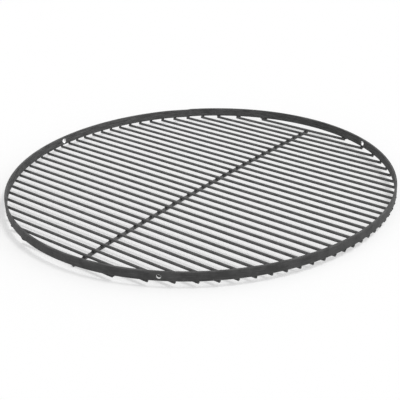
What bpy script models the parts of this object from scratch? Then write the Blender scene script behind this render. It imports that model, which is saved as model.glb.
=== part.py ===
"""Round hanging grate of a tripod grill.

A flat steel bar is rolled on edge into a hoop and closed with a butt weld. Straight rods lie side by
side under the hoop, each cut to its own chord and welded to the hoop's lower edge at both ends. One
brace bar runs across the rods, under them. Three holes through the hoop take the chain hooks.

Metres, +Z up. The rods run along X and the brace bar nearly along Y. The origin is on the hoop's axis,
level with the underside of the brace bar, on which the grate rests when it is laid down.
"""
import math

import bmesh
import bpy
from mathutils import Matrix, Vector

# Hoop: flat bar rolled on edge
HOOP_DIAMETER = 0.700  # outside
BAR_HEIGHT = 0.016
BAR_THICKNESS = 0.004
BAR_EDGE_RADIUS = 0.0007  # rolled edges of the flat bar

# Holes for the hooks of the three chains, at mid height of the bar, as angles from +X
HOOK_HOLE_DIAMETER = 0.0070
HOOK_HOLE_ANGLES = (63.5, 182.5, 299.5)  # marked out by hand, so not quite 120 degrees apart

# Butt weld that closes the hoop
SEAM_ANGLE = 133.0
SEAM_WIDTH = 0.006
SEAM_PROUD = 0.0005

# Rods that carry the food
ROD_DIAMETER = 0.005
ROD_PITCH = 0.0207
ROD_END_SETBACK = 0.001  # from the hoop's outside to the outer corner of a rod's end
ROD_LAST_CLEARANCE = 0.010  # least room from the hoop's inside to the middle of the last rod
CUT_EDGE = 0.0004  # small chamfer on the cut ends of rods and brace bar

# Weld at each rod end, a saddle of metal on the hoop's lower edge that hugs the rod from above
WELD_SKIN = 0.0002  # metal over the rod's top
WELD_SPREAD = 0.0022  # past the rod's side, along the hoop
WELD_LAP = 0.0008  # past each face of the bar
WELD_DROP = 0.0007  # from the hoop's lower edge down to the middle of the bead
WELD_HEIGHT = 0.0026  # from the bead's middle to its top and to its underside

# Brace bar under the rods
BRACE_DIAMETER = 0.006
BRACE_OFFSET = 0.0055  # from the hoop's centre, along the rods
BRACE_SKEW = 1.1  # degrees that it lies off square to the rods, as it was laid by eye
BRACE_BOW = 0.009  # its ends lie this far along the rods from its middle, as it isn't quite straight
BRACE_OVERHANG = 0.006  # past the middle of the last rod on each side

# Pieces that touch keep this much air between them
JOINT_GAP = 0.0003

CUTTER_OVERRUN = 0.010  # how far a drill or a groove runs past what it cuts, at each end

# Finishes, as a linear grey and a roughness
BAR_FINISH = (0.085, 0.55)
ROD_FINISH = (0.075, 0.50)
BRACE_FINISH = (0.070, 0.50)
STEEL_METALLIC = 0.85

# Facets of the round forms
HOOP_STEPS = 120
HOLE_STEPS = 24
BRACE_STEPS = 16
BRACE_CUTS = 11  # across the brace bar, so that it can bow
ROD_STEPS = 12
WELD_STEPS = 8
WELD_RINGS = 4
SMOOTH_BELOW = math.radians(35)
SLIVER = 0.00001  # points nearer than this are one point

# Levels, from the underside of the brace bar up
ROD_LEVEL = BRACE_DIAMETER + JOINT_GAP + ROD_DIAMETER / 2
BAR_BOTTOM = ROD_LEVEL + ROD_DIAMETER / 2 + JOINT_GAP + WELD_SKIN
BAR_MIDDLE = BAR_BOTTOM + BAR_HEIGHT / 2

# Radii of the hoop
OUTER_RADIUS = HOOP_DIAMETER / 2
INNER_RADIUS = OUTER_RADIUS - BAR_THICKNESS
MIDDLE_RADIUS = OUTER_RADIUS - BAR_THICKNESS / 2


def clear_scene():
    for thing in list(bpy.data.objects):
        bpy.data.objects.remove(thing, do_unlink=True)


def steel(name, finish):
    """Dark, lightly oxidised bare steel."""
    shade, roughness = finish
    material = bpy.data.materials.new(name)
    material.use_nodes = True
    shader = material.node_tree.nodes["Principled BSDF"]
    shader.inputs["Base Color"].default_value = (shade, shade, shade, 1)
    shader.inputs["Roughness"].default_value = roughness
    shader.inputs["Metallic"].default_value = STEEL_METALLIC
    return material


def add_object(name, bm, location=(0, 0, 0)):
    bmesh.ops.recalc_face_normals(bm, faces=bm.faces)
    mesh = bpy.data.meshes.new(name)
    bm.to_mesh(mesh)
    bm.free()
    thing = bpy.data.objects.new(name, mesh)
    thing.location = location
    bpy.context.collection.objects.link(thing)
    return thing


def combine(thing, tool, operation):
    """Joins tool to thing, or cuts it away, and removes the tool."""
    modifier = thing.modifiers.new("combine", "BOOLEAN")
    modifier.object = tool
    modifier.operation = operation
    modifier.solver = "EXACT"
    graph = bpy.context.evaluated_depsgraph_get()
    old_mesh = thing.data
    new_mesh = bpy.data.meshes.new_from_object(thing.evaluated_get(graph))
    thing.modifiers.clear()
    thing.data = new_mesh
    new_mesh.name = thing.name
    bpy.data.meshes.remove(old_mesh)
    bpy.data.objects.remove(tool, do_unlink=True)
    close_slivers(new_mesh)


def close_slivers(mesh):
    """Merges the points that a Boolean leaves a hair apart, and cuts the faces into well-shaped triangles."""
    bm = bmesh.new()
    bm.from_mesh(mesh)
    bmesh.ops.remove_doubles(bm, verts=bm.verts, dist=SLIVER)
    bmesh.ops.dissolve_degenerate(bm, edges=bm.edges, dist=SLIVER)
    bmesh.ops.triangulate(bm, faces=bm.faces, quad_method="BEAUTY", ngon_method="BEAUTY")
    bm.to_mesh(mesh)
    bm.free()


def finish(thing, material):
    thing.data.materials.clear()
    thing.data.materials.append(material)
    thing.data.shade_smooth()
    thing.data.set_sharp_from_angle(angle=SMOOTH_BELOW)


def round_bar(radius, length, steps, along):
    """A closed round bar centred on the origin, with small chamfers on its cut ends."""
    turn = Vector((0, 0, 1)).rotation_difference(Vector(along)).to_matrix().to_4x4()
    bm = bmesh.new()
    bmesh.ops.create_cone(
        bm, cap_ends=True, segments=steps, radius1=radius, radius2=radius, depth=length, matrix=turn
    )
    ends = [face for face in bm.faces if len(face.verts) == steps]
    rims = list({edge for face in ends for edge in face.edges})
    bmesh.ops.bevel(
        bm, geom=rims, offset=CUT_EDGE, segments=1, profile=0.5, affect="EDGES", material=-1
    )
    return bm


def hoop_bar():
    """The flat bar's section with rounded edges, spun once round the hoop's axis."""
    bm = bmesh.new()
    corners = [
        (INNER_RADIUS, BAR_BOTTOM),
        (OUTER_RADIUS, BAR_BOTTOM),
        (OUTER_RADIUS, BAR_BOTTOM + BAR_HEIGHT),
        (INNER_RADIUS, BAR_BOTTOM + BAR_HEIGHT),
    ]
    section = bm.faces.new([bm.verts.new((x, 0, z)) for x, z in corners])
    bmesh.ops.bevel(
        bm,
        geom=list(section.verts),
        offset=BAR_EDGE_RADIUS,
        segments=2,
        profile=0.5,
        affect="VERTICES",
        material=-1,
    )
    bmesh.ops.delete(bm, geom=list(bm.faces), context="FACES_ONLY")
    bmesh.ops.spin(
        bm,
        geom=list(bm.verts) + list(bm.edges),
        cent=(0, 0, 0),
        axis=(0, 0, 1),
        angle=2 * math.pi,
        steps=HOOP_STEPS,
        use_merge=True,
    )
    return bm


def seam_bead():
    """A low upright ridge over the butt joint, on both faces of the bar."""
    bm = bmesh.new()
    across = BAR_THICKNESS / 2 + SEAM_PROUD
    height = BAR_HEIGHT - 2 * BAR_EDGE_RADIUS
    place = (
        Matrix.Rotation(math.radians(SEAM_ANGLE), 4, "Z")
        @ Matrix.Translation((MIDDLE_RADIUS, 0, BAR_MIDDLE))
        @ Matrix.Diagonal((across, SEAM_WIDTH / 2, 1, 1))
    )
    bmesh.ops.create_cone(
        bm, cap_ends=True, segments=HOLE_STEPS, radius1=1, radius2=1, depth=height, matrix=place
    )
    return bm


def hook_drills():
    """Three radial drills through the middle of the bar's height."""
    bm = bmesh.new()
    for angle in HOOK_HOLE_ANGLES:
        place = (
            Matrix.Rotation(math.radians(angle), 4, "Z")
            @ Matrix.Translation((MIDDLE_RADIUS, 0, BAR_MIDDLE))
            @ Matrix.Rotation(math.pi / 2, 4, "Y")
        )
        bmesh.ops.create_cone(
            bm,
            cap_ends=True,
            segments=HOLE_STEPS,
            radius1=HOOK_HOLE_DIAMETER / 2,
            radius2=HOOK_HOLE_DIAMETER / 2,
            depth=BAR_THICKNESS + 2 * CUTTER_OVERRUN,
            matrix=place,
        )
    return bm


def rod_offsets():
    """The distance of each rod from the middle one, as many as fit inside the hoop."""
    each_side = int((INNER_RADIUS - ROD_LAST_CLEARANCE) / ROD_PITCH)
    return [place * ROD_PITCH for place in range(-each_side, each_side + 1)]


def rod_half_length(offset):
    """Half the length of the rod at this distance from the middle, so that its outer corners stay in."""
    corner = abs(offset) + ROD_DIAMETER / 2
    reach = OUTER_RADIUS - ROD_END_SETBACK
    return math.sqrt(reach**2 - corner**2)


def weld_beads():
    """A squashed ball of weld metal on the hoop's lower edge over each rod end, long along the hoop."""
    bm = bmesh.new()
    for offset in rod_offsets():
        inside = math.sqrt(INNER_RADIUS**2 - offset**2)
        seat = (inside + rod_half_length(offset)) / 2
        for side in (-1, 1):
            bearing = math.atan2(offset, side * seat)
            slant = abs(math.cos(bearing))  # sine of the angle between the rod and the hoop
            along = ROD_DIAMETER / 2 / slant + WELD_SPREAD
            across = BAR_THICKNESS / 2 + WELD_LAP
            place = (
                Matrix.Rotation(bearing, 4, "Z")
                @ Matrix.Translation((MIDDLE_RADIUS, 0, BAR_BOTTOM - WELD_DROP))
                @ Matrix.Diagonal((across, along, WELD_HEIGHT, 1))
            )
            bmesh.ops.create_uvsphere(
                bm, u_segments=WELD_STEPS, v_segments=WELD_RINGS, radius=1, matrix=place
            )
    return bm


def rod_grooves():
    """Cutters that clear the welds round every rod by the joint gap, and run out past its ends."""
    bm = bmesh.new()
    for offset in rod_offsets():
        place = Matrix.Translation((0, offset, ROD_LEVEL)) @ Matrix.Rotation(math.pi / 2, 4, "Y")
        radius = ROD_DIAMETER / 2 + JOINT_GAP
        bmesh.ops.create_cone(
            bm,
            cap_ends=True,
            segments=ROD_STEPS,
            radius1=radius,
            radius2=radius,
            depth=HOOP_DIAMETER + 2 * CUTTER_OVERRUN,
            matrix=place,
        )
    return bm


def build_hoop():
    hoop = add_object("ring_band", hoop_bar())
    combine(hoop, add_object("seam_bead", seam_bead()), "UNION")
    combine(hoop, add_object("weld_beads", weld_beads()), "UNION")
    combine(hoop, add_object("rod_grooves", rod_grooves()), "DIFFERENCE")
    combine(hoop, add_object("hook_drills", hook_drills()), "DIFFERENCE")
    finish(hoop, steel("hoop_steel", BAR_FINISH))


def build_rods():
    for number, offset in enumerate(rod_offsets(), start=1):
        name = f"grate_rod_{number:02d}"
        bar = round_bar(ROD_DIAMETER / 2, 2 * rod_half_length(offset), ROD_STEPS, (1, 0, 0))
        rod = add_object(name, bar, (0, offset, ROD_LEVEL))
        finish(rod, steel(f"{name}_steel", ROD_FINISH))


def lay_brace(bm, length):
    """Turns the straight brace bar a little off square, and bows it."""
    sides = [edge for edge in bm.edges if edge.calc_length() > length / 2]
    bmesh.ops.subdivide_edges(bm, edges=sides, cuts=BRACE_CUTS)
    for point in bm.verts:
        y = point.co.y
        point.co.x += BRACE_BOW * (2 * y / length) ** 2 - math.tan(math.radians(BRACE_SKEW)) * y


def build_brace():
    length = 2 * (rod_offsets()[-1] + BRACE_OVERHANG)
    bar = round_bar(BRACE_DIAMETER / 2, length, BRACE_STEPS, (0, 1, 0))
    lay_brace(bar, length)
    brace = add_object("brace_bar", bar, (BRACE_OFFSET, 0, BRACE_DIAMETER / 2))
    finish(brace, steel("brace_steel", BRACE_FINISH))


def main():
    clear_scene()
    build_hoop()
    build_rods()
    build_brace()


main()
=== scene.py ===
"""Dresses the round hanging grate of a tripod grill.

The file is laid out as a Blender add-on and is run as a script. It loads the fixed model, builds the
hoop, the rods, the brace bar and their welds again in fine detail, and lights them on a pale floor.
Metres, +Z up. The rods run along X and the brace bar nearly along Y.
"""
import math
import random

import bmesh
import bpy
from bpy.props import FloatProperty, FloatVectorProperty, PointerProperty
from mathutils import Matrix, Quaternion, Vector, kdtree, noise


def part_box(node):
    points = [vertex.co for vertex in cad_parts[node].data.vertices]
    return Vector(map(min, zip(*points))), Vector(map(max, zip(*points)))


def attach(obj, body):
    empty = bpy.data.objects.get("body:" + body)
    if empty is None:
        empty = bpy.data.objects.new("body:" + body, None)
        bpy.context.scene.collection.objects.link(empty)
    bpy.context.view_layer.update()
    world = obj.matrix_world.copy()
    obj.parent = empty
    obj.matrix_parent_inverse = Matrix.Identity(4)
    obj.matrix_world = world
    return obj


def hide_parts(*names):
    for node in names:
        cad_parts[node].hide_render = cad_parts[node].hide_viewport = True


bl_info = {
    "name": "Hanging grill grate",
    "version": (1, 0, 0),
    "blender": (4, 5, 0),
    "location": "View3D > Sidebar > Grate",
    "description": "Builds the round hanging grate of a tripod grill in fine detail",
    "category": "Add Mesh",
}

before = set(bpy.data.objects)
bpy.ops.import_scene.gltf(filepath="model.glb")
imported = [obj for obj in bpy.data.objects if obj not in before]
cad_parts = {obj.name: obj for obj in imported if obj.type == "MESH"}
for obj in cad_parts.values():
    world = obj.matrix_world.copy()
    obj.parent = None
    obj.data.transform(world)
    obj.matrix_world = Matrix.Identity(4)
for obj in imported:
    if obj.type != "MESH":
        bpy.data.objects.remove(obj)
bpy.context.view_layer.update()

MM = 0.001

# What the fixed model gives
_, HOOP_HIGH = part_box("ring_band")
BRACE_LOW, BRACE_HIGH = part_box("brace_bar")
ROD_NODES = sorted(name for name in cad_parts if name.startswith("grate_rod_"))
HOOP_RADIUS = HOOP_HIGH.y
WELDED_RADIUS = HOOP_HIGH.x  # out to the welds at the ends of the longest rods
RIM_TOP = HOOP_HIGH.z
BRACE_RADIUS = (BRACE_HIGH.z - BRACE_LOW.z) / 2

# Places round the hoop, in degrees from +X
HOOK_HOLE_ANGLES = (63.5, 182.5, 299.5)
SEAM_ANGLE = 133

# The brace bar's line: off the middle, off square to the rods, and its ends bowed along the rods
BRACE_OFFSET = 5.5 * MM
BRACE_SKEW = math.radians(1.1)
BRACE_BOW = 9 * MM

# How finely the forms are divided
HOOP_STEPS = 360
BAR_CUTS = 9  # across the height of the flat bar
EDGE_SEGMENTS = 4  # round an edge of the flat bar
HOLE_STEPS = 64
ROD_STEPS = 24
ROD_CUTS = 48  # along a rod
CUT_SEGMENTS = 3  # round the edge of a cut end
BRACE_STEPS = 32
BRACE_CUTS = 96  # along the brace bar
SEAM_STEPS = 32
SEAM_CUTS = 40  # up the butt weld
SAME_POINT = 0.01 * MM  # points nearer than this become one
SMOOTH_BELOW = math.radians(40)  # sharper bends stay sharp

# The hoop's stray from a true circle: cells of noise to the hoop's radius
WAVE_CELLS = 4

# Surface of the butt weld: cells of noise to the metre of height, and depths as shares of the ridge
SEAM_CELLS = 300
SEAM_LUMP_DEPTH = 0.1
SEAM_RIPPLE_DEPTH = 0.05
SEAM_TAPER = 0.5  # how much thinner the ridge is at its ends
SEAM_TAPER_POWER = 6  # how late it thins

# Surface of an end weld: cells of noise to its half length, and what each layer adds
COARSE_CELLS = 1.6
FINE_CELLS = 4
FINE_SHARE = 0.4
RIPPLES = 3  # waves along the weld
RIPPLE_SHARE = 0.25

# Surface of a crossing weld: cells of noise to its half length, and their depth as a share of it
NUGGET_CELLS = 2
NUGGET_LUMP_DEPTH = 0.12

# How the hand-laid welds vary, as shares of their usual sizes
END_WELD_LENGTHS = (0.75, 1)
END_WELD_HEIGHTS = (0.85, 1.1)
END_WELD_STRAY = 0.6 * MM  # along the hoop, in metres
NUGGET_LENGTHS = (0.85, 1.1)
NUGGET_WIDTHS = (0.8, 0.9)  # these two as shares of the brace bar's radius
NUGGET_HEIGHTS = (0.85, 1)
# The shift moves each crossing weld to where the rod's shadow falls on the brace, as painted shadow
NUGGET_SHIFT = 1 / 3  # towards +X and down, as a share of that radius

# Random draws: their seeds, and how far apart in the noise two welds may lie
END_WELD_SEED = 11
ROD_SEED = 5
NUGGET_SEED = 3
NOISE_REACH = 50

# How far a weld's heat tint, also painted shade, reaches round it, and the points that stand for the butt
# weld
HEAT_AND_SHADE_REACH = 11 * MM
SEAM_HEAT_POINTS = 5

# Mill scale is an oxide, so it is only partly metallic. The steel is microscopically rough everywhere,
# so it mirrors less than a smooth skin.
SCALE_METALLIC = 0.25
MATT_SHEEN = 0.3

# Rubbed places: they reach this many edge radii from the edges of the flat bar, and begin at this share
# of a rod's radius above its middle. The hoop's inner face is painted paler this many times as much,
# as painted light.
RUBBED_EDGE = 1.6
RUBBED_CREST = 2 / 3
INNER_FACE_PAINTED_LIGHT = 1.6

# Camera, solved from the photograph: distance from the middle of the rim, direction and framing
CAMERA_DISTANCE = 1.6385
CAMERA_ELEVATION = math.radians(24.0778)
CAMERA_AZIMUTH = math.radians(40.55)  # from -Y towards +X
CAMERA_FOCAL_PIXELS = 903.83
PHOTO_PIXELS = 400
CAMERA_ASIDE = 1.037 / CAMERA_FOCAL_PIXELS  # the optical axis passes this far left of the middle
CAMERA_ABOVE = -25.463 / CAMERA_FOCAL_PIXELS  # and this far above it, both as slopes
CAMERA_ROLL = math.radians(-2.4064)
SENSOR_WIDTH = 36  # millimetres

# Key light, high up on the right of the picture
KEY_ELEVATION = math.radians(62)
KEY_AZIMUTH = math.radians(120)  # from -Y towards +X

# The even light is strongest from the front right
SKY_AZIMUTH = CAMERA_AZIMUTH + math.radians(45)

FLOOR_SIZE = 24


def linear(hex_colour):
    """An sRGB hex colour as the linear RGBA that shaders and properties take."""
    channels = [int(hex_colour[place : place + 2], 16) / 255 for place in (1, 3, 5)]
    curve = [c / 12.92 if c <= 0.04045 else ((c + 0.055) / 1.055) ** 2.4 for c in channels]
    return (*curve, 1.0)


def length(label, text, default):
    """A size in metres that the sidebar shows in the scene's own unit."""
    return FloatProperty(
        name=label, description=text, default=default, min=0, unit="LENGTH", precision=5
    )


def colour(label, text, default):
    """A colour whose default is given as an sRGB hex value."""
    return FloatVectorProperty(
        name=label, description=text, default=linear(default), size=4, min=0, max=1, subtype="COLOR"
    )


class GrateSizes(bpy.types.PropertyGroup):
    """Sizes that the fixed model doesn't give as boxes, and those of the fine detail"""

    bar_height: length("Bar height", "Height of the flat bar that makes the hoop", 16 * MM)
    bar_thickness: length("Bar thickness", "Thickness of the flat bar", 4 * MM)
    bar_edge: length("Bar edge", "Radius of the rolled edges of the flat bar", 0.7 * MM)
    bar_wave: length("Bar wave", "How far the rolled hoop strays from a true circle", 0.25 * MM)
    hole_diameter: length("Hook hole", "Diameter of the three holes for the hooks", 7 * MM)
    hole_chamfer: length("Hole chamfer", "Broken edge of the drilled holes on the outer face", 0.4 * MM)
    hole_sink: length("Hole countersink", "Deeper broken edge of those holes on the inner face", 1.1 * MM)
    seam_width: length("Butt weld width", "Width of the weld that closes the hoop", 8 * MM)
    seam_proud: length("Butt weld height", "How far that weld stands off the bar", 0.5 * MM)
    seam_step: length("Butt step", "How much lower one end of the bar sits at the joint", 0.9 * MM)
    seam_fade: length("Butt fade", "Length of bar over which that step dies away", 60 * MM)
    seam_ripple: length("Butt ripple", "Spacing of the ripples across that weld", 1.4 * MM)
    weld_spread: length("Weld spread", "How far an end weld spreads past its rod", 0.2 * MM)
    weld_shift: length("Weld shift", "How far an end weld keeps to the inner corner of its rod", 2.6 * MM)
    weld_height: length("Weld height", "Half height of an end weld", 2.6 * MM)
    weld_drop: length("Weld drop", "From the bar's lower edge down to the weld's middle", 0.7 * MM)
    weld_lump: length("Weld lumps", "How uneven the end welds are", 0.22 * MM)
    nugget: length("Crossing weld", "Length of the weld along the brace at each rod", 4.6 * MM)
    cut_edge: length("Cut edge", "Rounding of the cut ends of the rods", 0.4 * MM)
    rod_bow: length("Rod bow", "How far a rod strays sideways from a straight line", 0.25 * MM)


class GrateColours(bpy.types.PropertyGroup):
    """Colours of the steel, its welds and the floor"""

    bar_scale: colour("Bar scale", "Mill scale on the hoop", "#373737")
    bar_patch: colour("Bar patches", "Thinner, paler scale on the hoop", "#444444")
    rod_scale: colour("Rod scale", "Dark skin of the rods", "#4e4e4e")
    rod_patch: colour("Rod patches", "Paler skin of the rods", "#5e5e5e")
    bare_steel: colour("Bare steel", "Steel where the skin is rubbed through", "#6a6a6a")
    drilled_steel: colour("Drilled steel", "Bright steel in the drilled holes", "#e6e6e6")
    # Heat tint next to the welds, also painted shade where the hoop shades the rod ends and the rods shade
    # the brace
    burnt_and_shaded_steel: colour("Burnt steel", "Steel next to a weld", "#303030")
    weld_metal: colour("Weld metal", "Weld metal under its thin slag", "#2e2e2e")
    weld_bright: colour("Weld crests", "Crests of the weld metal", "#424242")
    seam_metal: colour("Butt weld", "Brushed weld that closes the hoop", "#565656")
    seam_bright: colour("Butt weld crests", "Crests of that weld", "#6e6e6e")
    floor: colour("Floor", "Floor and backdrop", "#ffffff")


class StudioLight(bpy.types.PropertyGroup):
    """Strengths of the light, and how the floor takes it"""

    sky: FloatProperty(
        name="Sky", description="Strength of the even light from all round", default=0.72, min=0
    )
    sky_lean: FloatProperty(
        name="Sky lean",
        description="How much stronger the even light is from the front right, and weaker opposite",
        default=0.7,
        min=0,
        max=1,
        subtype="FACTOR",
    )
    key: FloatProperty(
        name="Key", description="Share of the floor's light that the key lamp gives", default=0.28, min=0
    )
    key_softness: FloatProperty(
        name="Key softness",
        description="How wide the key lamp looks from the grate",
        default=math.radians(14),
        min=0,
        subtype="ANGLE",
        unit="ROTATION",
    )
    shadow_depth: FloatProperty(
        name="Shadow depth",
        description="How much of the shadow on the floor shows, as an overexposed floor hides the rest",
        default=0.6,
        min=0,
        max=1,
        subtype="FACTOR",
    )
    floor_bounce: FloatProperty(
        name="Floor bounce",
        description="Share of the light that the floor throws back at the grate",
        default=0.8,
        min=0,
        max=1,
        subtype="FACTOR",
    )


def per(millimetres):
    """The scale of a pattern whose features are this far apart."""
    return 1000 / millimetres


def add_node(tree, kind, settings=None, links=None):
    """Adds a node, sets its options, and sets or links its inputs, by name or by number."""
    node = tree.nodes.new(kind)
    for option, value in (settings or {}).items():
        setattr(node, option, value)
    for key, value in (links or {}).items():
        if isinstance(value, bpy.types.NodeSocket):
            tree.links.new(value, node.inputs[key])
        else:
            node.inputs[key].default_value = value
    return node


def remap(tree, value, low, high, start=0.0, end=1.0):
    """The value's range from low to high, spread from start to end."""
    settings = {"interpolation_type": "SMOOTHSTEP"}
    links = {"Value": value, "From Min": low, "From Max": high, "To Min": start, "To Max": end}
    return add_node(tree, "ShaderNodeMapRange", settings, links).outputs[0]


def blend_colours(tree, share, first, second):
    """The first colour where the share is 0, the second where it is 1."""
    links = {0: share, 6: first, 7: second}
    return add_node(tree, "ShaderNodeMix", {"data_type": "RGBA"}, links).outputs[2]


def maths(tree, operation, first, second):
    """One operation on two values, kept between 0 and 1."""
    settings = {"operation": operation, "use_clamp": True}
    return add_node(tree, "ShaderNodeMath", settings, {0: first, 1: second}).outputs[0]


def noise_texture(tree, place, spacing, detail):
    """Noise whose features are this many millimetres apart."""
    links = {"Vector": place, "Scale": per(spacing), "Detail": detail}
    return add_node(tree, "ShaderNodeTexNoise", None, links).outputs[0]


def new_material(name, metallic):
    """A matt material with its node tree and its shader."""
    material = bpy.data.materials.new(name)
    material.use_nodes = True
    shader = material.node_tree.nodes["Principled BSDF"]
    shader.inputs["Metallic"].default_value = metallic
    shader.inputs["Specular IOR Level"].default_value = MATT_SHEEN
    return material, material.node_tree, shader


def raise_relief(tree, shader, relief, strength, depth):
    """Makes the surface look raised by up to this depth, where the relief is 1."""
    links = {"Height": relief, "Strength": strength, "Distance": depth}
    bump = add_node(tree, "ShaderNodeBump", None, links)
    tree.links.new(bump.outputs[0], shader.inputs["Normal"])


def scaled_steel(name, dark, pale, grain, roughness):
    """Steel under its mill scale: patches, streaks along the grain, flaked specks, rubbed places and
    painted light, burnt places and painted shade.

    grain holds how closely the streaks follow each other along X, Y and Z, 1 across the grain."""
    colours = bpy.context.scene.grate_colours
    material, tree, shader = new_material(name, SCALE_METALLIC)
    place = add_node(tree, "ShaderNodeTexCoord").outputs["Object"]
    along = add_node(tree, "ShaderNodeMapping", None, {"Vector": place, "Scale": grain}).outputs[0]
    patches = noise_texture(tree, place, 14, 5)
    # Rolling and drawing leave lines about 0.2 mm apart, drawn 1.2 mm apart so that they show
    streaks = noise_texture(tree, along, 1.2, 4)
    # The grit of the oxide is finer than 0.1 mm, drawn at 0.6 mm
    grit = noise_texture(tree, place, 0.6, 2)
    cells = add_node(tree, "ShaderNodeTexVoronoi", None, {"Vector": place, "Scale": per(4)}).outputs[0]
    specks = remap(tree, maths(tree, "ADD", cells, patches), 0.34, 0.46, 1, 0)
    rub = add_node(tree, "ShaderNodeAttribute", {"attribute_name": "rub"}).outputs["Fac"]
    heat = add_node(tree, "ShaderNodeAttribute", {"attribute_name": "heat"}).outputs["Fac"]

    tone = blend_colours(tree, remap(tree, patches, 0.35, 0.65), dark, pale)
    tone = blend_colours(tree, remap(tree, streaks, 0.45, 0.75, 0, 0.35), tone, colours.bare_steel)
    # Rubbed wear on the bar's edges and the rods' crests, and painted light on the hoop's inner face
    worn_and_painted_light = maths(tree, "MULTIPLY", rub, remap(tree, streaks, 0.3, 0.7, 0.05, 0.5))
    worn_and_painted_light = maths(tree, "MAXIMUM", worn_and_painted_light, maths(tree, "MULTIPLY", specks, 0.5))
    tone = blend_colours(tree, worn_and_painted_light, tone, colours.bare_steel)
    # Heat tint round the welds, also painted shade: the hoop's shadow on the rod ends, the rods' shadows on
    # the brace
    scorch_and_shade = maths(tree, "MULTIPLY", heat, remap(tree, patches, 0.3, 0.6, 0.55, 0.95))
    tone = blend_colours(tree, scorch_and_shade, tone, colours.burnt_and_shaded_steel)
    tree.links.new(tone, shader.inputs["Base Color"])

    dullness = remap(tree, streaks, 0.2, 0.8, roughness - 0.14, roughness + 0.12)
    tree.links.new(dullness, shader.inputs["Roughness"])

    relief = maths(tree, "ADD", maths(tree, "MULTIPLY", grit, 0.4), maths(tree, "MULTIPLY", streaks, 0.4))
    relief = maths(tree, "SUBTRACT", relief, maths(tree, "MULTIPLY", specks, 0.2))
    raise_relief(tree, shader, relief, strength=0.5, depth=0.12 * MM)
    return material


def hot_rolled_flat_bar():
    """Hot-rolled mild steel with its mill scale on.

    The oxide skin is dark, neutral grey and half matt, with streaks round the hoop from the rolls,
    small flakes broken off, paler metal where the edges are rubbed, and painted light on the inner face."""
    colours = bpy.context.scene.grate_colours
    return scaled_steel(
        "hot_rolled_flat_bar",
        colours.bar_scale,
        colours.bar_patch,
        grain=(0.05, 0.05, 1),
        roughness=0.66,
    )


def drawn_rod():
    """Drawn mild steel rod, darkened by storage and fire: smoother than the bar, lines along X."""
    colours = bpy.context.scene.grate_colours
    return scaled_steel(
        "drawn_rod", colours.rod_scale, colours.rod_patch, grain=(0.04, 1, 1), roughness=0.58
    )


def drawn_brace_rod():
    """The same drawn rod as the others, with its lines along Y."""
    colours = bpy.context.scene.grate_colours
    return scaled_steel(
        "drawn_brace_rod", colours.rod_scale, colours.rod_patch, grain=(1, 0.04, 1), roughness=0.58
    )


def drilled_steel():
    """Bare bright steel, as a drill and a countersink leave it: fine tool marks and no skin at all."""
    colours = bpy.context.scene.grate_colours
    material, tree, shader = new_material("drilled_steel", metallic=0.7)
    place = add_node(tree, "ShaderNodeTexCoord").outputs["Object"]
    marks = noise_texture(tree, place, 0.5, 2)
    shader.inputs["Base Color"].default_value = colours.drilled_steel
    tree.links.new(remap(tree, marks, 0.3, 0.7, 0.3, 0.5), shader.inputs["Roughness"])
    return material


def weld_metal(name, hollow, crest):
    """Arc-welded steel: rippled and clotted, dark in the hollows, where slag stays, paler on crests."""
    material, tree, shader = new_material(name, metallic=0.35)
    place = add_node(tree, "ShaderNodeTexCoord").outputs["Object"]
    clots = noise_texture(tree, place, 2.5, 4)
    crust = noise_texture(tree, place, 0.7, 3)
    tone = blend_colours(tree, remap(tree, clots, 0.4, 0.7), hollow, crest)
    tree.links.new(tone, shader.inputs["Base Color"])
    tree.links.new(remap(tree, clots, 0.3, 0.7, 0.62, 0.36), shader.inputs["Roughness"])
    relief = maths(tree, "ADD", maths(tree, "MULTIPLY", clots, 0.5), maths(tree, "MULTIPLY", crust, 0.5))
    raise_relief(tree, shader, relief, strength=0.6, depth=0.2 * MM)
    return material


def arc_weld_metal():
    """Weld metal left as laid, under its thin slag."""
    colours = bpy.context.scene.grate_colours
    return weld_metal("arc_weld_metal", colours.weld_metal, colours.weld_bright)


def brushed_weld_metal():
    """The butt weld of the hoop, wire-brushed, so that it is paler than the scale round it."""
    colours = bpy.context.scene.grate_colours
    return weld_metal("brushed_weld_metal", colours.seam_metal, colours.seam_bright)


def smooth(value):
    """0 below 0, 1 above 1, and an easy curve between."""
    value = min(max(value, 0), 1)
    return value * value * (3 - 2 * value)


def new_object(name, bm, material):
    """Turns a form into an object of one material in the scene."""
    bmesh.ops.recalc_face_normals(bm, faces=bm.faces)
    mesh = bpy.data.meshes.new(name)
    bm.to_mesh(mesh)
    bm.free()
    mesh.materials.append(material)
    thing = bpy.data.objects.new(name, mesh)
    bpy.context.scene.collection.objects.link(thing)
    return thing


def combine(thing, bm, operation, material):
    """Joins a closed form to a piece, or cuts it away, and gives the new faces their own material."""
    tool = new_object(f"{thing.name}_tool", bm, material)
    modifier = thing.modifiers.new("combine", "BOOLEAN")
    modifier.object = tool
    modifier.operation = operation
    modifier.solver = "EXACT"
    modifier.material_mode = "TRANSFER"
    graph = bpy.context.evaluated_depsgraph_get()
    old_mesh = thing.data
    new_mesh = bpy.data.meshes.new_from_object(thing.evaluated_get(graph))
    thing.modifiers.clear()
    thing.data = new_mesh
    new_mesh.name = thing.name
    bpy.data.meshes.remove(old_mesh)
    bpy.data.objects.remove(tool, do_unlink=True)


def mark(thing, label, measure):
    """Stores a number for each point of a piece, which its material reads."""
    layer = thing.data.attributes.new(label, "FLOAT", "POINT")
    layer.data.foreach_set("value", [measure(point.co) for point in thing.data.vertices])


def finish_piece(thing, nodes=()):
    """Shades a piece and places it on the body in the fixed model."""
    thing.data.shade_smooth()
    thing.data.set_sharp_from_angle(angle=SMOOTH_BELOW)
    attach(thing, "root")
    if nodes:
        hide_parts(*nodes)


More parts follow.
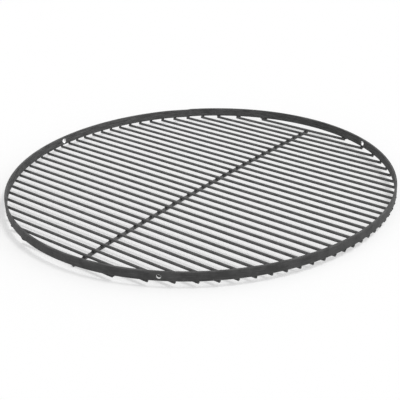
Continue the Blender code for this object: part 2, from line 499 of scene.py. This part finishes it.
def middle_radius():
    """From the hoop's axis to the middle of its bar."""
    return HOOP_RADIUS - bpy.context.scene.grate_sizes.bar_thickness / 2


def bar_bottom():
    """The height of the hoop's lower edge."""
    return RIM_TOP - bpy.context.scene.grate_sizes.bar_height


def bar_point(bearing, above):
    """The point on the bar's middle line at this bearing, this far above its lower edge."""
    radius = middle_radius()
    return Vector((radius * math.cos(bearing), radius * math.sin(bearing), bar_bottom() + above))


def bar_place(bearing, above, along=0):
    """The move from the origin to a place on the bar, with X out of the hoop and Y along it."""
    return Matrix.Rotation(bearing, 4, "Z") @ Matrix.Translation(
        (middle_radius(), along, bar_bottom() + above)
    )


def rod_line(node):
    """The middle of a rod, half its length and its radius."""
    low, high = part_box(node)
    return (low + high) / 2, (high.x - low.x) / 2, (high.z - low.z) / 2


def brace_line(y):
    """Where the middle of the brace bar is along X at this place across the rods."""
    return BRACE_OFFSET + BRACE_BOW * (y / BRACE_HIGH.y) ** 2 - math.tan(BRACE_SKEW) * y


def end_weld_places():
    """For every rod end: the bearing of its weld round the hoop, half its length along the hoop, and
    its shift along the hoop, into the corner on the side that the rod comes from."""
    sizes = bpy.context.scene.grate_sizes
    inner = HOOP_RADIUS - sizes.bar_thickness
    places = []
    for node in ROD_NODES:
        middle, half_length, radius = rod_line(node)
        seat = (math.sqrt(inner**2 - middle.y**2) + half_length) / 2
        for side in (-1, 1):
            bearing = math.atan2(middle.y, side * seat)
            half_along = radius / abs(math.cos(bearing)) + sizes.weld_spread
            places.append((bearing, half_along, side * math.sin(bearing) * sizes.weld_shift))
    return places


def weld_points():
    """A search tree of the middles of all the welds, to find how near the heat tint and painted shade are.
    """
    sizes = bpy.context.scene.grate_sizes
    points = [bar_point(bearing, 0) for bearing, _, _ in end_weld_places()]
    for node in ROD_NODES:
        across = rod_line(node)[0].y
        points.append(Vector((brace_line(across), across, BRACE_HIGH.z)))
    for step in range(SEAM_HEAT_POINTS):
        above = step / (SEAM_HEAT_POINTS - 1) * sizes.bar_height
        points.append(bar_point(math.radians(SEAM_ANGLE), above))
    tree = kdtree.KDTree(len(points))
    for number, point in enumerate(points):
        tree.insert(point, number)
    tree.balance()
    return tree


def heat_and_shade_measure():
    """A measure of heat tint and painted shade: 1 at a weld, fading to 0 at the reach of its heat."""
    tree = weld_points()
    return lambda point: 1 - smooth(tree.find(point)[2] / HEAT_AND_SHADE_REACH)


def spin_round(bm, axis, steps):
    """Spins an outline once round an axis through the origin."""
    bmesh.ops.spin(
        bm,
        geom=list(bm.verts) + list(bm.edges),
        cent=(0, 0, 0),
        axis=axis,
        angle=2 * math.pi,
        steps=steps,
        use_merge=True,
    )


def bar_ring():
    """The flat bar's section with its rolled edges, spun once round the hoop's axis."""
    sizes = bpy.context.scene.grate_sizes
    inner = HOOP_RADIUS - sizes.bar_thickness
    outline = [(inner, bar_bottom()), (HOOP_RADIUS, bar_bottom()), (HOOP_RADIUS, RIM_TOP), (inner, RIM_TOP)]
    bm = bmesh.new()
    section = bm.faces.new([bm.verts.new((x, 0, z)) for x, z in outline])
    bmesh.ops.bevel(
        bm,
        geom=list(section.verts),
        offset=sizes.bar_edge,
        segments=EDGE_SEGMENTS,
        profile=0.5,
        affect="VERTICES",
        material=-1,
    )
    bmesh.ops.delete(bm, geom=list(bm.faces), context="FACES_ONLY")
    sides = [edge for edge in bm.edges if edge.calc_length() > sizes.bar_thickness]
    bmesh.ops.subdivide_edges(bm, edges=sides, cuts=BAR_CUTS)
    spin_round(bm, (0, 0, 1), HOOP_STEPS)
    return bm


def roll_out_of_true(bm):
    """Lets the hoop stray a little inwards, as a hand-rolled one does, and steps it at the butt joint."""
    sizes = bpy.context.scene.grate_sizes
    half_step = 180 / HOOP_STEPS
    for point in bm.verts:
        bearing = math.atan2(point.co.y, point.co.x)
        around = Vector((math.cos(bearing), math.sin(bearing), 0))
        stray = 0.5 + 0.5 * noise.noise(around * WAVE_CELLS)
        point.co -= around * sizes.bar_wave * stray
        past_joint = (math.degrees(bearing) - SEAM_ANGLE) % 360
        if half_step < past_joint < 180:
            away = math.radians(past_joint) * HOOP_RADIUS
            point.co.z -= sizes.seam_step * (1 - smooth(away / sizes.seam_fade))


def butt_weld():
    """The rippled ridge of weld over the butt joint, on both faces of the bar."""
    sizes = bpy.context.scene.grate_sizes
    bm = bmesh.new()
    height = sizes.bar_height - sizes.bar_edge
    bmesh.ops.create_cone(bm, cap_ends=True, segments=SEAM_STEPS, radius1=1, radius2=1, depth=height)
    uprights = [edge for edge in bm.edges if abs(edge.verts[0].co.z - edge.verts[1].co.z) > MM]
    bmesh.ops.subdivide_edges(bm, edges=uprights, cuts=SEAM_CUTS)
    for point in bm.verts:
        ripple = math.sin(2 * math.pi * point.co.z / sizes.seam_ripple)
        lumps = noise.noise(point.co * SEAM_CELLS)
        ends = 1 - abs(2 * point.co.z / height) ** SEAM_TAPER_POWER * SEAM_TAPER
        swell = (1 + SEAM_RIPPLE_DEPTH * ripple + SEAM_LUMP_DEPTH * lumps) * ends
        point.co.x *= swell
        point.co.y *= swell
    place = bar_place(math.radians(SEAM_ANGLE), height / 2)
    ridge = Matrix.Diagonal((sizes.bar_thickness / 2 + sizes.seam_proud, sizes.seam_width / 2, 1, 1))
    bmesh.ops.transform(bm, matrix=place @ ridge, verts=bm.verts)
    return bm


def hook_drill(angle):
    """A drill that cuts one hook hole and breaks its edges, on the inner face with a countersink."""
    sizes = bpy.context.scene.grate_sizes
    radius = sizes.hole_diameter / 2
    face = sizes.bar_thickness / 2

    def half(side, flare):
        """Half of the drill's outline, as places along its axis and distances from it."""
        steps = [(face - flare, radius), (face + flare, radius + 2 * flare)]
        steps += [(2 * face, radius + 2 * flare), (2 * face, 0)]
        return [(side * x, r) for x, r in steps]

    outline = half(-1, sizes.hole_sink)[::-1] + half(1, sizes.hole_chamfer)
    bm = bmesh.new()
    points = [bm.verts.new((x, 0, r)) for x, r in outline]
    for first, second in zip(points, points[1:]):
        bm.edges.new((first, second))
    spin_round(bm, (1, 0, 0), HOLE_STEPS)
    bmesh.ops.remove_doubles(bm, verts=bm.verts, dist=SAME_POINT)
    place = bar_place(math.radians(angle), sizes.bar_height / 2)
    bmesh.ops.transform(bm, matrix=place, verts=bm.verts)
    return bm


def end_weld(bearing, half_along, shift, rng):
    """One lump of weld metal between a rod's end and the hoop's lower edge."""
    sizes = bpy.context.scene.grate_sizes
    bm = bmesh.new()
    bmesh.ops.create_icosphere(bm, subdivisions=4, radius=1)
    seed = Vector([rng.uniform(-NOISE_REACH, NOISE_REACH) for _ in range(3)])
    across = WELDED_RADIUS - middle_radius() - sizes.weld_lump
    along = half_along * rng.uniform(*END_WELD_LENGTHS)
    height = sizes.weld_height * rng.uniform(*END_WELD_HEIGHTS)
    shift += rng.uniform(-END_WELD_STRAY, END_WELD_STRAY)
    for point in bm.verts:
        way = point.co.copy()
        lumps = noise.noise(way * COARSE_CELLS + seed) + FINE_SHARE * noise.noise(way * FINE_CELLS + seed)
        ripple = RIPPLE_SHARE * math.sin(way.y * RIPPLES * math.pi + seed.x)
        reach = sizes.weld_lump * min(lumps + ripple, 1)
        point.co = Vector((way.x * (across + reach), way.y * (along + reach), way.z * (height + reach)))
    bmesh.ops.transform(bm, matrix=bar_place(bearing, -sizes.weld_drop, shift), verts=bm.verts)
    return bm


def merge_forms(forms):
    """Puts several closed forms into one mesh."""
    whole = bmesh.new()
    for bm in forms:
        mesh = bpy.data.meshes.new("form")
        bm.to_mesh(mesh)
        bm.free()
        whole.from_mesh(mesh)
        bpy.data.meshes.remove(mesh)
    return whole


def round_bar(radius, half_length, steps, cuts):
    """A round bar along X with rounded cut ends, cut into rings so that it can bend."""
    sizes = bpy.context.scene.grate_sizes
    bm = bmesh.new()
    turn = Matrix.Rotation(math.pi / 2, 4, "Y")
    bmesh.ops.create_cone(
        bm,
        cap_ends=True,
        segments=steps,
        radius1=radius,
        radius2=radius,
        depth=2 * half_length,
        matrix=turn,
    )
    ends = [face for face in bm.faces if len(face.verts) == steps]
    rims = list({edge for face in ends for edge in face.edges})
    bmesh.ops.bevel(
        bm,
        geom=rims,
        offset=sizes.cut_edge,
        segments=CUT_SEGMENTS,
        profile=0.5,
        affect="EDGES",
        material=-1,
    )
    sides = [edge for edge in bm.edges if edge.calc_length() > half_length]
    bmesh.ops.subdivide_edges(bm, edges=sides, cuts=cuts)
    return bm


def crossing_weld_and_painted_shadow(node, rng):
    """The small fillet between the brace bar and one rod, also its painted shadow, on the rod's -Y side."""
    sizes = bpy.context.scene.grate_sizes
    rod_middle, _, rod_radius = rod_line(node)
    contact = (BRACE_HIGH.z + rod_middle.z - rod_radius) / 2
    half_length = sizes.nugget / 2 * rng.uniform(*NUGGET_LENGTHS)
    bm = bmesh.new()
    bmesh.ops.create_uvsphere(bm, u_segments=16, v_segments=10, radius=1)
    seed = Vector((rng.uniform(-NOISE_REACH, NOISE_REACH), 0, 0))
    for point in bm.verts:
        point.co *= 1 + NUGGET_LUMP_DEPTH * noise.noise(point.co * NUGGET_CELLS + seed)
    half_width = BRACE_RADIUS * rng.uniform(*NUGGET_WIDTHS)
    half_height = BRACE_RADIUS * rng.uniform(*NUGGET_HEIGHTS)
    # In the corner on the rod's -Y side, the fillet's dark weld metal also paints the rod's shadow on the
    # brace
    corner = Vector((brace_line(rod_middle.y), rod_middle.y - rod_radius, contact))
    middle = corner + BRACE_RADIUS * NUGGET_SHIFT * Vector((1, 0, -1))
    seat = Matrix.Translation(middle) @ Matrix.Diagonal((half_width, half_length, half_height, 1))
    bmesh.ops.transform(bm, matrix=seat, verts=bm.verts)
    return bm


class GRATE_OT_build_hoop(bpy.types.Operator):
    """Build the flat-bar hoop with its butt weld and its three hook holes"""

    bl_idname = "grate.build_hoop"
    bl_label = "Build hoop"

    def execute(self, context):
        sizes = context.scene.grate_sizes
        ring = bar_ring()
        roll_out_of_true(ring)
        hoop = new_object("hoop", ring, hot_rolled_flat_bar())
        combine(hoop, butt_weld(), "UNION", brushed_weld_metal())
        bright = drilled_steel()
        for angle in HOOK_HOLE_ANGLES:
            combine(hoop, hook_drill(angle), "DIFFERENCE", bright)

        def wear_and_painted_light_measure(point):
            """1 on the worn rounded edges, more on the inner face as painted light, 0 on the outer one."""
            off_middle = abs(point.z - bar_bottom() - sizes.bar_height / 2)
            edge = (off_middle - sizes.bar_height / 2) / sizes.bar_edge + RUBBED_EDGE
            inside = (middle_radius() - point.to_2d().length) / sizes.bar_thickness + 0.5
            return max(smooth(edge), INNER_FACE_PAINTED_LIGHT * smooth(inside))

        mark(hoop, "rub", wear_and_painted_light_measure)
        mark(hoop, "heat", heat_and_shade_measure())
        finish_piece(hoop, ["ring_band"])
        return {"FINISHED"}


class GRATE_OT_build_end_welds(bpy.types.Operator):
    """Build the welds that hold the rods to the hoop's lower edge"""

    bl_idname = "grate.build_end_welds"
    bl_label = "Build end welds"

    def execute(self, context):
        rng = random.Random(END_WELD_SEED)
        lumps = [end_weld(*place, rng) for place in end_weld_places()]
        welds = new_object("end_welds", merge_forms(lumps), arc_weld_metal())
        finish_piece(welds)
        return {"FINISHED"}


class GRATE_OT_build_rods(bpy.types.Operator):
    """Build the straight rods that carry the food"""

    bl_idname = "grate.build_rods"
    bl_label = "Build rods"

    def execute(self, context):
        sizes = context.scene.grate_sizes
        material = drawn_rod()
        heat = heat_and_shade_measure()
        rng = random.Random(ROD_SEED)
        for node in ROD_NODES:
            middle, half_length, radius = rod_line(node)
            bow = rng.uniform(-1, 1) * sizes.rod_bow
            bm = round_bar(radius, half_length, ROD_STEPS, ROD_CUTS)
            for point in bm.verts:
                point.co.y += bow * (1 - (point.co.x / half_length) ** 2)
            bmesh.ops.translate(bm, vec=middle, verts=bm.verts)
            rod = new_object(node.replace("grate_", ""), bm, material)
            bottom, top = middle.z + RUBBED_CREST * radius, middle.z + radius
            mark(rod, "rub", lambda point: smooth((point.z - bottom) / (top - bottom)))
            mark(rod, "heat", heat)
            finish_piece(rod, [node])
        return {"FINISHED"}


class GRATE_OT_build_brace(bpy.types.Operator):
    """Build the brace bar under the rods and the small weld, also a painted shadow, at each crossing"""

    bl_idname = "grate.build_brace"
    bl_label = "Build brace"

    def execute(self, context):
        bm = round_bar(BRACE_RADIUS, BRACE_HIGH.y, BRACE_STEPS, BRACE_CUTS)
        turn = Matrix.Rotation(math.pi / 2, 4, "Z")
        place = Matrix.Translation((0, 0, BRACE_LOW.z + BRACE_RADIUS)) @ turn
        bmesh.ops.transform(bm, matrix=place, verts=bm.verts)
        for point in bm.verts:
            point.co.x += brace_line(point.co.y)
        brace = new_object("brace", bm, drawn_brace_rod())
        mark(brace, "heat", heat_and_shade_measure())
        finish_piece(brace, ["brace_bar"])

        rng = random.Random(NUGGET_SEED)
        nuggets_and_shadows = [crossing_weld_and_painted_shadow(node, rng) for node in ROD_NODES]
        welds = new_object("crossing_welds", merge_forms(nuggets_and_shadows), arc_weld_metal())
        finish_piece(welds)
        return {"FINISHED"}


def direction(azimuth, elevation):
    """A unit vector: azimuth turns from -Y towards +X."""
    flat = math.cos(elevation)
    return Vector((flat * math.sin(azimuth), -flat * math.cos(azimuth), math.sin(elevation)))


def seen_directly(tree):
    """1 for rays from the camera and for reflections, 0 for the rest."""
    ray = add_node(tree, "ShaderNodeLightPath")
    seen = maths(tree, "MAXIMUM", ray.outputs["Is Camera Ray"], ray.outputs["Is Glossy Ray"])
    return maths(tree, "MAXIMUM", seen, ray.outputs["Is Transmission Ray"])


def pale_floor():
    """Matt white board, overexposed: seen white with a faint shadow, and throwing back less."""
    scene = bpy.context.scene
    material = bpy.data.materials.new("matt_white_board")
    material.use_nodes = True
    tree = material.node_tree
    tree.nodes.clear()
    bounce = scene.studio_light.floor_bounce
    dim = (bounce, bounce, bounce, 1)
    seen = seen_directly(tree)
    tone = blend_colours(tree, seen, dim, scene.grate_colours.floor)
    board = add_node(tree, "ShaderNodeBsdfDiffuse", None, {"Color": tone})
    white = add_node(
        tree, "ShaderNodeEmission", None, {"Color": scene.grate_colours.floor, "Strength": 1}
    )
    share = maths(tree, "MULTIPLY", seen, 1 - scene.studio_light.shadow_depth)
    look = add_node(tree, "ShaderNodeMixShader", None, {0: share, 1: board.outputs[0], 2: white.outputs[0]})
    add_node(tree, "ShaderNodeOutputMaterial", None, {"Surface": look.outputs[0]})
    return material


def add_sky():
    """Even light from all round, stronger from the front right. Camera and mirrors see plain white."""
    scene = bpy.context.scene
    sky, lean = scene.studio_light.sky, scene.studio_light.sky_lean
    world = bpy.data.worlds.new("white_surround")
    world.use_nodes = True
    scene.world = world
    tree = world.node_tree
    tree.nodes.clear()
    way = add_node(tree, "ShaderNodeTexCoord").outputs["Generated"]
    towards = add_node(
        tree, "ShaderNodeVectorMath", {"operation": "DOT_PRODUCT"}, {0: way, 1: direction(SKY_AZIMUTH, 0)}
    ).outputs["Value"]
    strength = remap(tree, towards, -1, 1, 1 - lean, 1 + lean)
    light = add_node(
        tree, "ShaderNodeBackground", None, {"Color": (sky, sky, sky, 1), "Strength": strength}
    )
    look = add_node(tree, "ShaderNodeBackground", None, {"Color": (1, 1, 1, 1), "Strength": 1})
    both = add_node(
        tree, "ShaderNodeMixShader", None, {0: seen_directly(tree), 1: light.outputs[0], 2: look.outputs[0]}
    )
    add_node(tree, "ShaderNodeOutputWorld", None, {"Surface": both.outputs[0]})


def add_key():
    """The key lamp, a soft sun that gives the floor its share of the light."""
    scene = bpy.context.scene
    lamp = bpy.data.lights.new("key", "SUN")
    lamp.angle = scene.studio_light.key_softness
    lamp.energy = scene.studio_light.key * math.pi / math.sin(KEY_ELEVATION)
    key = bpy.data.objects.new("key", lamp)
    key.rotation_mode = "QUATERNION"
    key.rotation_quaternion = (-direction(KEY_AZIMUTH, KEY_ELEVATION)).to_track_quat("-Z", "Y")
    scene.collection.objects.link(key)


def add_camera():
    """The photograph's camera, aimed a little past the middle of the rim and rolled."""
    scene = bpy.context.scene
    lens = bpy.data.cameras.new("camera")
    lens.sensor_width = SENSOR_WIDTH
    lens.lens = CAMERA_FOCAL_PIXELS / PHOTO_PIXELS * SENSOR_WIDTH
    camera = bpy.data.objects.new("camera", lens)
    out = direction(CAMERA_AZIMUTH, CAMERA_ELEVATION)
    right = (-out).cross(Vector((0, 0, 1))).normalized()
    up = right.cross(-out)
    view = -out - CAMERA_ASIDE * right + CAMERA_ABOVE * up
    camera.location = Vector((0, 0, RIM_TOP)) + CAMERA_DISTANCE * out
    camera.rotation_mode = "QUATERNION"
    roll = Quaternion((0, 0, 1), CAMERA_ROLL)
    camera.rotation_quaternion = view.to_track_quat("-Z", "Y") @ roll
    scene.collection.objects.link(camera)
    scene.camera = camera


class GRATE_OT_build_stage(bpy.types.Operator):
    """Build the pale floor, the soft light and the camera"""

    bl_idname = "grate.build_stage"
    bl_label = "Build stage"

    def execute(self, context):
        bm = bmesh.new()
        bmesh.ops.create_grid(bm, x_segments=1, y_segments=1, size=FLOOR_SIZE / 2)
        new_object("floor", bm, pale_floor())
        add_sky()
        add_key()
        add_camera()
        context.scene.view_settings.view_transform = "Standard"
        return {"FINISHED"}


class GRATE_PT_sidebar(bpy.types.Panel):
    """Lists the grate's sizes, colours and building steps"""

    bl_idname = "GRATE_PT_sidebar"
    bl_label = "Hanging grate"
    bl_space_type = "VIEW_3D"
    bl_region_type = "UI"
    bl_category = "Grate"

    def draw(self, context):
        scene = context.scene
        for group in (scene.grate_sizes, scene.grate_colours, scene.studio_light):
            box = self.layout.box()
            for name in group.__annotations__:
                box.prop(group, name)
        for operator in BUILDERS:
            self.layout.operator(operator.bl_idname)


BUILDERS = (
    GRATE_OT_build_hoop,
    GRATE_OT_build_end_welds,
    GRATE_OT_build_rods,
    GRATE_OT_build_brace,
    GRATE_OT_build_stage,
)
GROUPS = (GrateSizes, GrateColours, StudioLight)


def register():
    """Makes the groups, the operators and the panel known, and hangs the groups on the scene."""
    for kind in (*GROUPS, *BUILDERS, GRATE_PT_sidebar):
        bpy.utils.register_class(kind)
    bpy.types.Scene.grate_sizes = PointerProperty(type=GrateSizes)
    bpy.types.Scene.grate_colours = PointerProperty(type=GrateColours)
    bpy.types.Scene.studio_light = PointerProperty(type=StudioLight)


def unregister():
    """Takes all of that away again, in the opposite order."""
    del bpy.types.Scene.studio_light
    del bpy.types.Scene.grate_colours
    del bpy.types.Scene.grate_sizes
    for kind in reversed((*GROUPS, *BUILDERS, GRATE_PT_sidebar)):
        bpy.utils.unregister_class(kind)


def main():
    """Builds the grate and its stage."""
    register()
    bpy.ops.grate.build_hoop()
    bpy.ops.grate.build_end_welds()
    bpy.ops.grate.build_rods()
    bpy.ops.grate.build_brace()
    bpy.ops.grate.build_stage()


if __name__ == "__main__":
    main()
